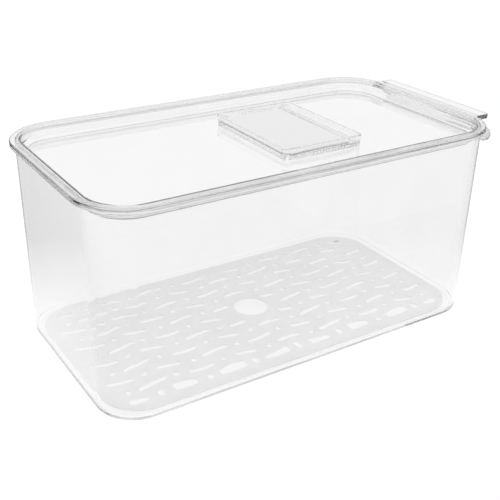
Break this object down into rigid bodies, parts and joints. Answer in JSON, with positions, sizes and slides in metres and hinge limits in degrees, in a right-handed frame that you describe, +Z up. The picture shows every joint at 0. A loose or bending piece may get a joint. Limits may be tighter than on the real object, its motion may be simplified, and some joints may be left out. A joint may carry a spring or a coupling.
{
  "type": "produce keeper",
  "caption": "Clear lidded bin for a fridge shelf, with a hooked end pull, a perforated strainer tray inside and a vent cap with a filter pad on its recessed lid.",
  "frame": {"origin": "Middle of the tub's flat base, in the plane of the shelf. The body is centred on it; the pull and the tab reach out further at +X.", "axes": "+X runs along the tub towards the end with the pull, +Y is across it, +Z is up and square to the base."},
  "size_m": [0.3995, 0.206, 0.178],
  "materials": {
    "clear_tub": "clear moulded polystyrene, polished",
    "clear_lid": "clear moulded polystyrene, polished",
    "frosted_tray": "translucent white polypropylene, fine satin",
    "grey_pad": "light grey filter felt"
  },
  "bodies": {
    "tub": {"tub": "clear_tub"},
    "strainer_tray": {"strainer_tray": "frosted_tray"},
    "lid": {"lid": "clear_lid"},
    "vent_cap": {"vent_cap": "clear_lid"},
    "filter_pad": {"filter_pad": "grey_pad"}
  },
  "joints": [
    {"name": "tray_lift", "type": "slide", "parent": "tub", "child": "strainer_tray", "axis": [0, 0, 1], "range_m": [0, 0.14]},
    {"name": "lid_lift", "type": "slide", "parent": "tub", "child": "lid", "axis": [0, 0, 1], "range_m": [0, 0.2]},
    {"name": "vent_cap_lift", "type": "slide", "parent": "lid", "child": "vent_cap", "axis": [0, 0, 1], "range_m": [0, 0.03]},
    {"name": "filter_pad_lift", "type": "slide", "parent": "vent_cap", "child": "filter_pad", "axis": [0, 0, 1], "range_m": [0, 0.02]}
  ]
}
